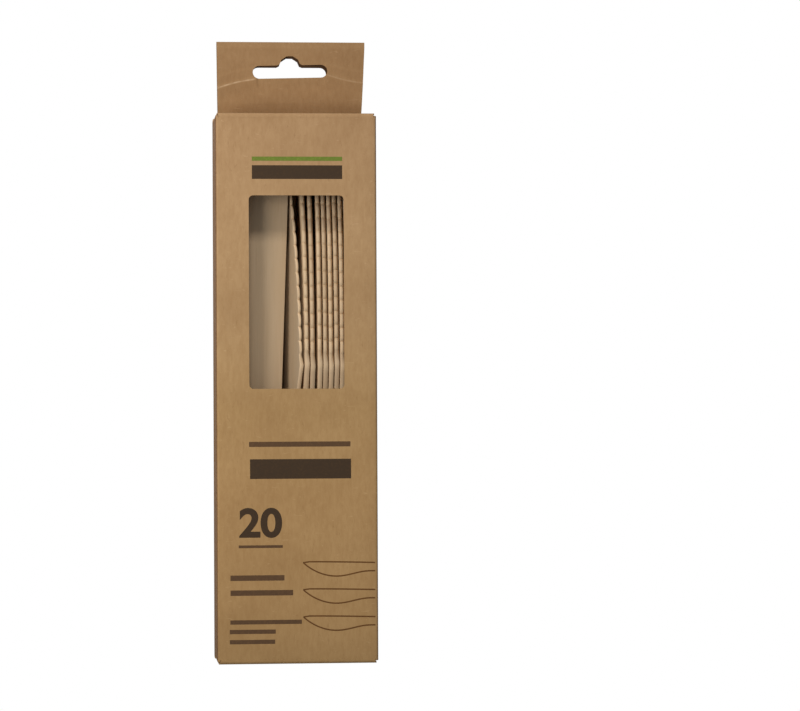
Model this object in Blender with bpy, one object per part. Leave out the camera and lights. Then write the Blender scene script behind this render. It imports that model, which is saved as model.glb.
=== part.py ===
# Wooden cutlery pack: a kraft card carton with a hang header and a window, holding twenty wooden knives.
# The pack lies on its back: +X is the pack's right, +Y its hanging end, +Z out of its front panel.
# Metres throughout. The origin is the middle of the pack's footprint, on the surface it lies on.

import math

import bmesh
import bpy
from mathutils import Matrix

# Card and carton
CARD = 0.00045               # thickness of the kraft card
SIDE_ROOM = 0.002308138           # free width left of the stacked knives
STACK_OVERHANG = 0.00165     # how far the upper ones reach over the foot of the knives that lean
ROW_ROOM = 0.0005            # free width between the standing row and the knives that lean to it
DEPTH_ROOM = 0.0028          # free depth over the knives that stand on their spines
FOLD_RADIUS = 0.0007         # outer radius of the four long folds
FOLD_STEPS = 3               # flat strips in each long fold
GAP = 0.0003                 # clearance between neighbouring pieces

# Double back wall and hang header
LAYER_GAP = 0.0002           # space between the header's two layers
OUTER_BACK_INSET = 0.0004    # how far the outer back layer stays inside the carton's sides
GLUE_MARGIN = 0.002          # border of the double back wall that carries no glue
HEADER_LENGTH = 0.0265       # from the carton's closed end to the header's folded edge
HEADER_TOP_INSET = 0.0018    # each side, from the carton's side to the header's, at the folded edge
HEADER_BASE_INSET = 0.0028   # the same at the carton's closed end
HEADER_FOLD_STEPS = 6

# Hang slot
SLOT_WIDTH = 0.0258
SLOT_HEIGHT = 0.0044
SLOT_BASE = 0.0140           # from the carton's closed end to the slot's near edge, front layer
SLOT_LAYER_SHIFT = 0.0007    # how far the hole in the rear layer sits nearer the carton
HUMP_BASE_WIDTH = 0.0076
HUMP_TOP_WIDTH = 0.0030
HUMP_HEIGHT = 0.0030         # above the slot's far edge

# Window
WINDOW_WIDTH = 0.0320
WINDOW_LENGTH = 0.0650
WINDOW_LOW_EDGE = -0.0002    # the window's near edge, from the carton's middle
WINDOW_RADIUS = 0.0015

# Closures
LID_SIDE_INSET = 0.0005      # each side of a tuck flap, from the carton's side
TONGUE_LENGTH = 0.0080
TONGUE_CORNER = 0.0040
HANDLE_END_ROOM = 0.0015     # from the bottom tongue's end to the handles of the row
TIP_END_ROOM = 0.0025        # from the top tongue's end to the tips of the row
TONGUE_STEPS = 5
DUST_FLAP_LENGTH = 0.0200
DUST_FLAP_TAPER = 0.0020
CLEARANCE_AT_TONGUE = 0.0004

# Knives
KNIFE_LENGTH = 0.165
KNIFE_THICKNESS = 0.0016
BLADE_WIDTH = 0.0215
HANDLE_WIDTH = 0.0143
SHOULDER_AT = 0.091          # from the handle's end to the blade's shoulder
THROAT_AT = 0.063            # where the throat curve meets the straight handle
THROAT_POWER = 1.65
BELLY_POWER = 1.6
BELLY_ROOT = 0.58
TIP_SPINE_RADIUS = 0.0012
HANDLE_CORNER = 0.0055
SCALLOP_COUNT = 13
SCALLOP_PITCH = 0.00464
SCALLOP_DEPTH = 0.0008
SCALLOP_POWER = 0.5          # below 1, round bumps with narrow valleys between them
SCALLOP_STEPS = 4
FIRST_SCALLOP_AT = 0.0945

# How the knives lie in the carton
STACK_COUNT = 7              # knives lying flat, one on another, at the left
STACK_LEAN = math.radians(1.9)   # how far the top knife of the stack has turned
STACK_TIP_ROOM = 0.0021      # from the tips of the stack, slid up over the tongue, to the closed end
EDGE_COUNT = 10              # knives standing on their spines at the right
LEANS = (1.5, 4.5, 15.0)     # degrees from upright, knives leaning to the row, from it outwards

# Room that the knives take up
KNIFE_PITCH = KNIFE_THICKNESS + GAP
ROW_WIDTH = EDGE_COUNT * KNIFE_PITCH


def leaning_places():
    """For each leaning knife, its tilt and how far its spine lies left of the standing row."""
    places = []
    neighbour = ROW_ROOM
    for degrees in LEANS:
        tilt = math.radians(degrees)
        overhang = BLADE_WIDTH * math.sin(tilt)
        spine = neighbour + GAP + KNIFE_THICKNESS / math.cos(tilt) + overhang
        places.append((tilt, spine))
        neighbour = spine - overhang
    return places


LEANING_WIDTH = leaning_places()[-1][1]
CONTENTS_WIDTH = BLADE_WIDTH - STACK_OVERHANG + LEANING_WIDTH + ROW_WIDTH + GAP

# The carton's outside, which follows from what it holds
CARTON_WIDTH = SIDE_ROOM + CONTENTS_WIDTH + 2 * CARD
CARTON_LENGTH = KNIFE_LENGTH + HANDLE_END_ROOM + TIP_END_ROOM + 2 * TONGUE_LENGTH
CARTON_DEPTH = BLADE_WIDTH + GAP + DEPTH_ROOM + 2 * CARD

# Places that follow from the sizes above
HALF_WIDTH = CARTON_WIDTH / 2
HALF_LENGTH = CARTON_LENGTH / 2
BACK_Z = CARD + LAYER_GAP                    # outer face of the inner back panel
FLOOR_Z = BACK_Z + CARD                      # inner face of the back wall
FRONT_Z = BACK_Z + CARTON_DEPTH              # outer face of the front panel
CEILING_Z = FRONT_Z - CARD                   # inner face of the front panel
HEADER_END = HALF_LENGTH + HEADER_LENGTH
SIDE_END = HALF_LENGTH - CARD - GAP          # where the side walls fold into dust flaps
INNER_X = HALF_WIDTH - CARD
ROW_LEFT = INNER_X - GAP - ROW_WIDTH
LEANING_FOOT_X = ROW_LEFT - LEANING_WIDTH
STACK_SPINE_X = LEANING_FOOT_X + STACK_OVERHANG
HANDLE_END_Y = TONGUE_LENGTH + HANDLE_END_ROOM - HALF_LENGTH
WINDOW_MIDDLE_Y = WINDOW_LOW_EDGE + WINDOW_LENGTH / 2
TONGUE_RADIUS = FRONT_Z - FLOOR_Z - GAP      # hinge axis to the tongue's outer face
TONGUE_SWEEP = TONGUE_LENGTH / TONGUE_RADIUS
TONGUE_TOP_Z = FRONT_Z - (TONGUE_RADIUS - CARD) * math.cos(TONGUE_SWEEP)
STACK_SLIDE = HALF_LENGTH - STACK_TIP_ROOM - (HANDLE_END_Y + KNIFE_LENGTH)
CENTRE_Y = -HEADER_LENGTH / 2                # the carton's middle, from the middle of the footprint


def clear_scene():
    for ob in list(bpy.data.objects):
        bpy.data.objects.remove(ob, do_unlink=True)


def material(name, colour, roughness):
    mat = bpy.data.materials.new(name)
    mat.use_nodes = True
    shader = mat.node_tree.nodes["Principled BSDF"]
    shader.inputs["Base Color"].default_value = (*colour, 1.0)
    shader.inputs["Roughness"].default_value = roughness
    shader.inputs["Metallic"].default_value = 0.0
    return mat


def arc(cx, cy, radius, start, end, steps):
    """Points of a circular arc, angles in degrees."""
    points = []
    for i in range(steps + 1):
        a = math.radians(start + (end - start) * i / steps)
        points.append((cx + radius * math.cos(a), cy + radius * math.sin(a)))
    return points


def rounded_rectangle(x0, y0, x1, y1, radius, steps):
    points = arc(x1 - radius, y1 - radius, radius, 0, 90, steps)
    points += arc(x0 + radius, y1 - radius, radius, 90, 180, steps)
    points += arc(x0 + radius, y0 + radius, radius, 180, 270, steps)
    points += arc(x1 - radius, y0 + radius, radius, 270, 360, steps)
    return points


def prism(name, outline, low, high, plane="XY"):
    """A closed prism: an outline in one plane, extruded along the third axis from low to high."""
    place = {
        "XY": lambda u, v, w: (u, v, w),
        "XZ": lambda u, v, w: (u, w, v),
        "YZ": lambda u, v, w: (w, u, v),
    }[plane]
    bm = bmesh.new()
    bottom = [bm.verts.new(place(u, v, low)) for u, v in outline]
    top = [bm.verts.new(place(u, v, high)) for u, v in outline]
    bm.faces.new(bottom)
    bm.faces.new(top)
    count = len(outline)
    for i in range(count):
        j = (i + 1) % count
        bm.faces.new((bottom[i], bottom[j], top[j], top[i]))
    bmesh.ops.recalc_face_normals(bm, faces=bm.faces)
    mesh = bpy.data.meshes.new(name)
    bm.to_mesh(mesh)
    bm.free()
    ob = bpy.data.objects.new(name, mesh)
    bpy.context.scene.collection.objects.link(ob)
    return ob


def box(name, low, high):
    outline = [(low[0], low[1]), (high[0], low[1]), (high[0], high[1]), (low[0], high[1])]
    return prism(name, outline, low[2], high[2])


def combine(base, other, operation):
    """Joins or cuts base with other by a Boolean, applies it and removes other."""
    modifier = base.modifiers.new("combine", "BOOLEAN")
    modifier.operation = operation
    modifier.object = other
    modifier.solver = "EXACT"
    bpy.context.view_layer.update()
    graph = bpy.context.evaluated_depsgraph_get()
    result = bpy.data.meshes.new_from_object(base.evaluated_get(graph))
    base.modifiers.clear()
    old = base.data
    base.data = result
    bpy.data.meshes.remove(old)
    bpy.data.objects.remove(other, do_unlink=True)


def shift_to_footprint(ob):
    """Moves a piece modelled from the carton's middle to the middle of the whole footprint."""
    ob.data.transform(Matrix.Translation((0.0, CENTRE_Y, 0.0)))


def card_tube():
    """Front panel, two sides and inner back panel: one card ring, open at both ends."""
    outer = rounded_rectangle(-HALF_WIDTH, BACK_Z, HALF_WIDTH, FRONT_Z, FOLD_RADIUS, FOLD_STEPS)
    tube = prism("carton_body", outer, -HALF_LENGTH, HALF_LENGTH, "XZ")
    inner_radius = FOLD_RADIUS - CARD
    inner = rounded_rectangle(-INNER_X, FLOOR_Z, INNER_X, CEILING_Z, inner_radius, FOLD_STEPS)
    hollow = prism("hollow", inner, -CARTON_LENGTH, CARTON_LENGTH, "XZ")
    combine(tube, hollow, "DIFFERENCE")
    return tube


def end_notch(side, end):
    """Cutter that shortens a side wall, so that its dust flap folds in under the tuck flap."""
    x0 = side * (INNER_X - CARD)
    x1 = side * (HALF_WIDTH + CARD)
    y0 = end * SIDE_END
    y1 = end * (HALF_LENGTH + CARD)
    low = (min(x0, x1), min(y0, y1), FLOOR_Z)
    high = (max(x0, x1), max(y0, y1), CEILING_Z)
    return box("notch", low, high)


def dust_flap(side, end):
    """A flap folded in from a side wall's end, clear of the front panel and of the tongue."""
    back_edge = FLOOR_Z + GAP + CARD + CLEARANCE_AT_TONGUE
    front_edge = CEILING_Z - GAP
    root = side * (INNER_X + CARD / 2)
    tip = side * (HALF_WIDTH - DUST_FLAP_LENGTH)
    outline = [
        (root, back_edge),
        (root, front_edge),
        (tip, front_edge - DUST_FLAP_TAPER),
        (tip, back_edge + DUST_FLAP_TAPER),
    ]
    faces = sorted((end * SIDE_END, end * (SIDE_END - CARD)))
    return prism("dust_flap", outline, faces[0], faces[1], "XZ")


def half_header(y):
    """Half the header's width at a distance y from the carton's middle."""
    share = (y - HALF_LENGTH) / HEADER_LENGTH
    return HALF_WIDTH - HEADER_BASE_INSET + (HEADER_BASE_INSET - HEADER_TOP_INSET) * share


def header_sheet():
    """The header's two layers and the fold that joins them, as one strip across the pack."""
    radius = FLOOR_Z / 2
    inner_radius = radius - CARD
    fold_y = HEADER_END - radius
    root = HALF_LENGTH - GLUE_MARGIN
    outline = [(root, 0.0)]
    outline += arc(fold_y, radius, radius, -90, 90, HEADER_FOLD_STEPS)
    outline += [(root, FLOOR_Z), (root, BACK_Z)]
    outline += arc(fold_y, radius, inner_radius, 90, -90, HEADER_FOLD_STEPS)
    outline += [(root, CARD)]
    half = HALF_WIDTH - HEADER_TOP_INSET
    sheet = prism("header", outline, -half, half, "YZ")
    for side in (-1, 1):
        outer = side * CARTON_WIDTH
        far_y = HEADER_END + CARD
        near_y = root - CARD
        cutter = prism(
            "taper",
            [
                (side * half_header(near_y), near_y),
                (side * half_header(far_y), far_y),
                (outer, far_y),
                (outer, near_y),
            ],
            -CARD,
            FLOOR_Z + CARD,
        )
        combine(sheet, cutter, "DIFFERENCE")
    return sheet


def outer_back():
    """The glued outer layer of the back, and the glue that makes it one wall with the inner one."""
    half = HALF_WIDTH - OUTER_BACK_INSET
    layer = box("outer_back", (-half, -HALF_LENGTH, 0.0), (half, HALF_LENGTH, CARD))
    glue_half = half - GLUE_MARGIN
    low = (-glue_half, -HALF_LENGTH + GLUE_MARGIN, CARD / 2)
    high = (glue_half, HALF_LENGTH - GLUE_MARGIN / 2, BACK_Z + CARD / 2)
    combine(layer, box("glue", low, high), "UNION")
    return layer


def slot_outline(shift):
    """A hang slot with round ends and a hump with a small flat crown."""
    near = HALF_LENGTH + SLOT_BASE - shift
    far = near + SLOT_HEIGHT
    crown = far + HUMP_HEIGHT
    radius = SLOT_HEIGHT / 2
    end = SLOT_WIDTH / 2 - radius
    points = arc(end, near + radius, radius, -90, 90, 8)
    points += [(HUMP_BASE_WIDTH / 2, far)]
    shoulder = (HUMP_BASE_WIDTH + HUMP_TOP_WIDTH) / 4
    points += [(shoulder + 0.0002, crown - 0.0012), (HUMP_TOP_WIDTH / 2, crown - 0.0003)]
    points += [(HUMP_TOP_WIDTH / 3, crown), (-HUMP_TOP_WIDTH / 3, crown)]
    points += [(-HUMP_TOP_WIDTH / 2, crown - 0.0003), (-shoulder - 0.0002, crown - 0.0012)]
    points += [(-HUMP_BASE_WIDTH / 2, far)]
    points += arc(-end, near + radius, radius, 90, 270, 8)
    return points


def carton_body():
    body = card_tube()
    for side in (-1, 1):
        for end in (-1, 1):
            combine(body, end_notch(side, end), "DIFFERENCE")
            combine(body, dust_flap(side, end), "UNION")
    combine(body, outer_back(), "UNION")
    combine(body, header_sheet(), "UNION")
    between = CARD + LAYER_GAP / 2
    combine(body, prism("front_hole", slot_outline(0.0), between, FRONT_Z), "DIFFERENCE")
    combine(body, prism("rear_hole", slot_outline(SLOT_LAYER_SHIFT), -CARD, between), "DIFFERENCE")
    half = WINDOW_WIDTH / 2
    far = WINDOW_LOW_EDGE + WINDOW_LENGTH
    window = rounded_rectangle(-half, WINDOW_LOW_EDGE, half, far, WINDOW_RADIUS, 4)
    combine(body, prism("window", window, CEILING_Z - CARD, FRONT_Z + CARD), "DIFFERENCE")
    shift_to_footprint(body)
    return body


def tuck_flap(name, end):
    """A closing flap hinged on the front panel's end edge. Its tongue is curved about the hinge."""
    hinge_y = end * HALF_LENGTH
    outer_radius = TONGUE_RADIUS
    inner_radius = outer_radius - CARD
    sweep = math.degrees(TONGUE_SWEEP)
    near = CARD + GAP
    outline = [(0.0, near), (0.0, outer_radius)]
    outline += arc(0.0, 0.0, outer_radius, 90, 90 - sweep, TONGUE_STEPS)[1:]
    outline += arc(0.0, 0.0, inner_radius, 90 - sweep, 90, TONGUE_STEPS)[:-1]
    fold = math.sqrt(inner_radius ** 2 - CARD ** 2)
    outline += [(CARD, fold), (CARD, near)]
    placed = [(hinge_y - end * inward, FRONT_Z - down) for inward, down in outline]
    half = HALF_WIDTH - LID_SIDE_INSET
    flap = prism(name, placed, -half, half, "YZ")
    tongue_half = INNER_X - GAP - CARD
    for side in (-1, 1):
        tip_y = hinge_y - end * (TONGUE_LENGTH + CARD)
        root_y = hinge_y - end * (CARD + GAP / 2)
        cutter = prism(
            "tongue_corner",
            [
                (side * tongue_half, root_y),
                (side * tongue_half, tip_y + end * TONGUE_CORNER),
                (side * (tongue_half - TONGUE_CORNER), tip_y),
                (side * CARTON_WIDTH, tip_y),
                (side * CARTON_WIDTH, root_y),
            ],
            -CARD,
            CEILING_Z - CARTON_DEPTH / 2,
        )
        combine(flap, cutter, "DIFFERENCE")
    flap.data.transform(Matrix.Translation((0.0, -hinge_y, -FRONT_Z)))
    flap.location = (0.0, hinge_y + CENTRE_Y, FRONT_Z)
    return flap


def belly(u):
    """Distance from the spine to the blade's edge, without scallops, at u from the handle's end."""
    t = (u - SHOULDER_AT) / (KNIFE_LENGTH - SHOULDER_AT)
    return BLADE_WIDTH * max(0.0, 1.0 - t ** BELLY_POWER) ** BELLY_ROOT


def knife_outline():
    """Points (v, u): v across from the spine, u along from the handle's end."""
    r = HANDLE_CORNER
    points = arc(HANDLE_WIDTH - r, r, r, -90, 0, 4)
    for i in range(7):
        s = i / 6
        u = THROAT_AT + (SHOULDER_AT - THROAT_AT) * s
        points.append((HANDLE_WIDTH + (BLADE_WIDTH - HANDLE_WIDTH) * s ** THROAT_POWER, u))
    for i in range(SCALLOP_COUNT * SCALLOP_STEPS + 1):
        u = FIRST_SCALLOP_AT + SCALLOP_PITCH * i / SCALLOP_STEPS
        notch = 1.0 - abs(math.sin(math.pi * i / SCALLOP_STEPS)) ** SCALLOP_POWER
        points.append((belly(u) - SCALLOP_DEPTH * notch, u))
    last = FIRST_SCALLOP_AT + SCALLOP_PITCH * SCALLOP_COUNT
    for share in (0.35, 0.65, 0.85, 0.96):
        u = last + (KNIFE_LENGTH - last) * share
        points.append((belly(u), u))
    points += arc(TIP_SPINE_RADIUS, KNIFE_LENGTH - TIP_SPINE_RADIUS, TIP_SPINE_RADIUS, 70, 180, 4)
    points += arc(r, r, r, 180, 270, 4)
    return points


def knife(number, spine_x, height, angle, lean, along):
    """One knife. Its spine is at spine_x and height, its blade turned by angle about the spine.

    Angle 0 lies flat with the edge to the left, 90 degrees stands with the edge to the front.
    Lean turns the knife in its own plane and along shifts it towards the header."""
    ob = prism("knife_%02d" % number, knife_outline(), 0.0, KNIFE_THICKNESS)
    flat = Matrix.Rotation(math.pi, 4, "Y") @ Matrix.Translation((0.0, 0.0, -KNIFE_THICKNESS))
    pivot = Matrix.Translation((0.0, WINDOW_MIDDLE_Y - HANDLE_END_Y, 0.0))
    turn = Matrix.Rotation(angle, 4, "Y")
    in_plane = pivot @ Matrix.Rotation(-lean, 4, "Z") @ pivot.inverted()
    place = Matrix.Translation((spine_x, HANDLE_END_Y + CENTRE_Y + along, height))
    ob.matrix_world = place @ turn @ in_plane @ flat
    return ob


def wobble(number, size):
    """A small fixed offset, different for each knife."""
    return size * math.sin(2.4 * number + 0.7)


def stack_limit(rise, lean):
    """How far right a stacked knife may lie, at a rise over the floor, beside the leaning blade."""
    tilt = math.radians(LEANS[-1])
    share = rise / math.cos(tilt) / BLADE_WIDTH
    blade_end = (1.0 - share ** (1.0 / BELLY_ROOT)) ** (1.0 / BELLY_POWER)
    reach = HANDLE_END_Y + SHOULDER_AT + (KNIFE_LENGTH - SHOULDER_AT) * blade_end - WINDOW_MIDDLE_Y
    return LEANING_FOOT_X + rise * math.tan(tilt) - GAP - reach * math.sin(lean)


def knives():
    made = []
    for i in range(STACK_COUNT):
        rise = i * KNIFE_PITCH
        height = FLOOR_Z + GAP + rise
        share = i / (STACK_COUNT - 1)
        lean = STACK_LEAN * share + wobble(i, STACK_LEAN / 8)
        slide = STACK_SLIDE if height > TONGUE_TOP_Z else 0.0
        x = min(STACK_SPINE_X + wobble(i + 3, 0.0002), stack_limit(rise, lean))
        made.append(knife(len(made) + 1, x, height, 0.0, lean, slide + wobble(i, 0.0004)))
    floor = FLOOR_Z + GAP
    for tilt, spine in leaning_places():
        height = floor + KNIFE_THICKNESS * math.sin(tilt)
        turn = math.pi / 2 + tilt
        slide = wobble(len(made), 0.0005)
        made.append(knife(len(made) + 1, ROW_LEFT - spine, height, turn, 0.0, slide))
    for i in range(EDGE_COUNT):
        x = ROW_LEFT + i * KNIFE_PITCH
        made.append(knife(len(made) + 1, x, floor, math.pi / 2, 0.0, wobble(i, 0.0006)))
    return made


def main():
    clear_scene()
    kraft = material("kraft_card", (0.42, 0.27, 0.15), 0.85)
    wood = material("birch_wood", (0.66, 0.47, 0.29), 0.65)
    carton_body().data.materials.append(kraft)
    tuck_flap("top_tuck_flap", 1).data.materials.append(kraft)
    tuck_flap("bottom_tuck_flap", -1).data.materials.append(kraft)
    for ob in knives():
        ob.data.materials.append(wood)


main()
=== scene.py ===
import math

import bmesh
import bpy
from mathutils import Matrix, Vector, noise


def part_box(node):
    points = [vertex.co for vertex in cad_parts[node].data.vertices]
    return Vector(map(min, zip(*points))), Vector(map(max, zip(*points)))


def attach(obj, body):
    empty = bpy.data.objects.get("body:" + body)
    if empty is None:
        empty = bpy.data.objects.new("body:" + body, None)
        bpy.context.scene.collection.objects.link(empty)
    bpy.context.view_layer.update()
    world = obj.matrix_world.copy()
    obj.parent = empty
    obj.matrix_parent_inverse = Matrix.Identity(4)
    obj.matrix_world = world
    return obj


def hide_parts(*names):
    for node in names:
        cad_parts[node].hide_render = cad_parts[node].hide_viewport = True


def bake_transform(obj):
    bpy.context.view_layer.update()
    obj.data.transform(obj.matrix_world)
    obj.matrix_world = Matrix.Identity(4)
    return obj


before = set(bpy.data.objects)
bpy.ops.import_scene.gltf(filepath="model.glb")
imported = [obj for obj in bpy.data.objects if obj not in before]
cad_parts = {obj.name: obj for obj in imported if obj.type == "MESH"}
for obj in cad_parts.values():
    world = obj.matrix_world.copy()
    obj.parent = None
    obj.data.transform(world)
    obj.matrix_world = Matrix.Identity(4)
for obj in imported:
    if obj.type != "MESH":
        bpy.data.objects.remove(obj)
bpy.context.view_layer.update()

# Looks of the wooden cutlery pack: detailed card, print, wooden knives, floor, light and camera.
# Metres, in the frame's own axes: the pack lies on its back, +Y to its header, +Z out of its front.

# Driving dimensions, read from the frame where a node gives them
BODY_LOW, BODY_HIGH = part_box("carton_body")
CARD = 0.00045                          # thickness of the card
LAYER_GAP = 0.0002                      # space between the header's two layers
HALF_WIDTH = BODY_HIGH.x
TOP_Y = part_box("top_tuck_flap")[1].y    # the carton's closed end at the header
BOTTOM_Y = BODY_LOW.y                   # the carton's other closed end
MIDDLE_Y = (TOP_Y + BOTTOM_Y) / 2
HALF_LENGTH = (TOP_Y - BOTTOM_Y) / 2
HEADER_END = BODY_HIGH.y
FRONT_Z = BODY_HIGH.z
BACK_Z = CARD + LAYER_GAP
FLOOR_Z = BACK_Z + CARD
CEILING_Z = FRONT_Z - CARD
GAP = 0.0003                            # clearance between neighbouring pieces
FOLD = 0.0010                           # outer radius of the card's folds
EDGE_BAND = 0.0016                      # how far a closing flap's fold reaches into the front panel
SIDE_BAND = 0.0016                      # the same for a dust flap's fold into its side wall
CORNER_BAND = 0.0009                    # the same where the long folds end, beside the closing flaps
FOLD_STEPS = 6                          # mesh steps round each of the four long folds
WALL_COLUMNS = (14, 6)                  # mesh columns across a wide wall and a side wall
WALL_ROWS = 64
PANEL_WAVE = 0.00012                    # how far the front panel waves in and out
PANEL_WAVES = (30.0, 18.0)              # how close together its waves are, across and along
INK_ROOM = 0.00003                      # how far the print stands off the front panel

# Header and outer back layer
HEADER_LENGTH = HEADER_END - TOP_Y
HEADER_INSETS = ((0.0018, 0.0015), (0.0030, 0.0017))  # left and right: at the base, at the top
OUTER_BACK_INSET = 0.0004               # how far the outer back layer stays inside the sides
HEADER_LIFT = 0.0011                    # how far the front layer stands off the rear one
HEADER_RISE = 0.006                     # length over which it rises from the carton
FOLD_SLOPE = 0.0020                     # how far down from the folded edge that lift starts
HEADER_STEP = 0.0004                    # length over which the sheet narrows from back to header
HEADER_WAVE = 0.00020                   # how far it waves, and how close together its waves are
HEADER_WAVES = 90.0

# Where the header's creases leave the ends of the slot and reach its sides: left, right
CREASES_Y = ((TOP_Y + 0.0135, TOP_Y + 0.0104), (TOP_Y + 0.0150, TOP_Y + 0.0123))
CREASE_TOP_X = 0.0128                   # where they start, from the middle
CREASE_SPAN = HALF_WIDTH - HEADER_INSETS[1][1] - CREASE_TOP_X
CREASE_BOW = 0.0004                     # how far they bend from a straight line
CREASE_HEIGHT = 0.00042
CREASE_WIDTH = 0.00045                  # its short step, on the upper side
CREASE_FALL = 0.0030                    # its long fall, on the lower side
SECOND_CREASE_UP = 0.0036               # a fainter crease, beyond the first one
SECOND_CREASE_HEIGHT = 0.00024
CREASE_WEAR_AND_HIGHLIGHT = (0.50, 0.18)              # how pale the card is along them: rubbed fibres and a painted highlight

# Closing flaps and dust flaps
LID_SIDE_INSET = 0.0006
TONGUE_LENGTH = 0.0080
TONGUE_CORNER = 0.0040
TONGUE_FOLD = 0.0008
TONGUE_RADIUS = FRONT_Z - FLOOR_Z - GAP  # from a closing flap's hinge line to its tongue
DUST_FLAP_LENGTH = 0.0200
DUST_FLAP_TAPER = 0.0020
DUST_FLAP_FOLD = 0.0008
DUST_FLAP_ROOM = 0.0004                 # between a dust flap's lower edge and the tongue

# Window and hang slot
WINDOW_WIDTH = 0.0320
WINDOW_LENGTH = 0.0650
WINDOW_LOW_Y = MIDDLE_Y - 0.0002
WINDOW_RADIUS = 0.0015
WINDOW_CUT_ROOM = 0.002                 # how far its cutter reaches past the card
SLOT_WIDTH = 0.0256
SLOT_HEIGHT = 0.0044
SLOT_BASE = 0.0140
SLOT_LAYER_SHIFT = 0.0007
SLOT_ASIDE = 0.0004                     # how far left of the middle the slot was cut
REAR_SLOT_ASIDE = 0.0003                # how much further left it is in the rear layer
SLOT_TILT = math.radians(1.3)           # how far it is turned in the front layer
SLOT_CUT_LOW = -0.001
SLOT_CUT_HIGH = 0.004
HUMP_BASE_WIDTH = 0.0076
HUMP_TOP_WIDTH = 0.0030
HUMP_HEIGHT = 0.0031
HUMP_FLARE = 0.0006                     # how far its foot spreads into the slot's edge
HUMP_FOOT = (0.0003, 0.0004)            # its first point: inwards from its base, up from the slot
HUMP_SHOULDER = (0.0002, 0.0012)        # outwards from a straight flank, down from the crown
HUMP_CROWN_DROP = 0.0003

# A knife
KNIFE_LENGTH = 0.165
KNIFE_THICKNESS = 0.0016
BLADE_WIDTH = 0.0215
HANDLE_WIDTH = 0.0143
SHOULDER_AT = 0.091                     # from the handle's end to the blade's shoulder
THROAT_AT = 0.063                       # where the throat curve meets the straight handle
SCALLOP_COUNT = 13
SCALLOP_PITCH = 0.00464
SCALLOP_DEPTH = 0.0008
FIRST_SCALLOP_AT = 0.0945
SCALLOP_STEPS = 8
BEVEL_WIDTH = 0.0022
EDGE_THICKNESS = 0.0011                 # what the bevel leaves along the scallops
SCALLOP_POWER = 0.5                     # below 1, round bumps with narrow valleys between them
THROAT_POWER = 1.65
BELLY_POWER = 1.6
BELLY_ROOT = 0.58
TIP_SPINE_RADIUS = 0.0012
HANDLE_CORNER = 0.0055
EASING = 0.00015                        # how far the knives' edges are rubbed down
KNIFE_MATCH = 0.0004                    # how closely a finished knife's box follows its plain one's

# Where the knives lie
ROW_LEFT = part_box("knife_11")[0].x      # the standing row's left face
KNIFE_PITCH = KNIFE_THICKNESS + GAP
LEANS = (1.5, 4.5, 15.0)                # degrees from upright, from the row outwards
ROW_ROOM = 0.0005                       # free width between the row and the ones that lean to it
STACK_COUNT = 7
STACK_OVERHANG = 0.00165                # how far its knives reach over the leaning ones' foot
STACK_LEAN = math.radians(1.9)          # how far its top knife has turned
STACK_TIP_ROOM = 0.0021                 # from its tips, slid up over the tongue, to the closed end
EDGE_COUNT = 10
OUTER_KNIFE = STACK_COUNT + len(LEANS)  # the one that leans furthest: painted shade on its face, a painted highlight on its edge
HANDLE_END_Y = -0.083                   # from the carton's middle
WINDOW_MIDDLE_Y = WINDOW_LOW_Y - MIDDLE_Y + WINDOW_LENGTH / 2
TONGUE_TOP_Z = FRONT_Z - (TONGUE_RADIUS - CARD) * math.cos(TONGUE_LENGTH / TONGUE_RADIUS)
STACK_SLIDE = HALF_LENGTH - STACK_TIP_ROOM - (HANDLE_END_Y + KNIFE_LENGTH)

# How bright each knife's wood is, with painted light: the stack darker, the row lighter, the outer
# knife's face in painted shade and its edge with a painted highlight
STACK_SHADE_TONE = 0.965
ROW_LIT_TONE = 1.03
OUTER_SHADE_TONE = 0.90
OUTER_EDGE_HIGHLIGHT_TONE = 1.12
TONE_SPREAD = 0.035

# The print's plain bars, in millimetres from the front's left edge and down from its closed top:
# name, left end, right end, distance down, height
MM = 0.001
GREEN_BAR = ("green_bar", 12.2, 42.6, 15.4, 1.4)
DARK_BAR = ("dark_bar", 12.2, 42.6, 19.9, 4.6)
HEADLINE_BAR = ("headline_bar", 11.2, 45.2, 119.6, 6.6)
TEXT_BARS = (
    ("over_headline_bar", 10.9, 45.0, 111.3, 1.7),
    ("under_number_bar", 7.3, 22.1, 145.6, 0.9),
    ("note_bar_1", 4.5, 22.6, 156.1, 1.8),
    ("note_bar_2", 4.5, 25.5, 161.1, 1.8),
    ("small_bar_1", 4.4, 28.4, 170.9, 1.4),
    ("small_bar_2", 4.2, 19.6, 174.1, 1.4),
    ("small_bar_3", 4.2, 19.4, 177.5, 1.4),
)
NUMBER_BOX = (7.5, 21.9, 132.6, 142.7)  # left, right, top, bottom
NUMBER_BOLDNESS = 0.03

# The drawn blades, in millimetres: tips and how far down they are, and the outline's own sizes
DRAWN_TIP = 29.0
DRAWN_DOWN = (151.1, 160.2, 169.3)
DRAWN_BELLY_AT = 11.2
DRAWN_BELLY = 4.6
DRAWN_NECK_AT = 22.6
DRAWN_NECK = 2.9
DRAWN_BACK = -0.30
DRAWN_LINE = 0.46                       # width of the drawn line
DRAPE_SPACING = 0.0035                  # how closely a printed field is cut to follow the panel

# Light, floor and camera
ROOM_LIGHT = 0.30
KEY_LIGHT = 2.35
KEY_PLACE = (-0.03, 0.62, 0.53)
KEY_SIZE = 0.12
SIDE_LIGHT = 0.62
SIDE_PLACE = (-0.205, 0.05, 0.285)
SIDE_SIZE = 0.15
WARM = (1.0, 0.965, 0.91)
COOL = (0.94, 0.97, 1.0)
FLOOR_REACH = 3.0
FLOOR_DROP = 0.0002                     # how far the floor lies under the pack
CAMERA_LENS = 147.68
CAMERA_PLACE = (-0.0720, -0.0142, 1.1265)
CAMERA_TURN = (0.0111, -0.0967, -0.0045)


def link(ob):
    """Puts an object into the scene."""
    bpy.context.scene.collection.objects.link(ob)
    return ob


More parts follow.
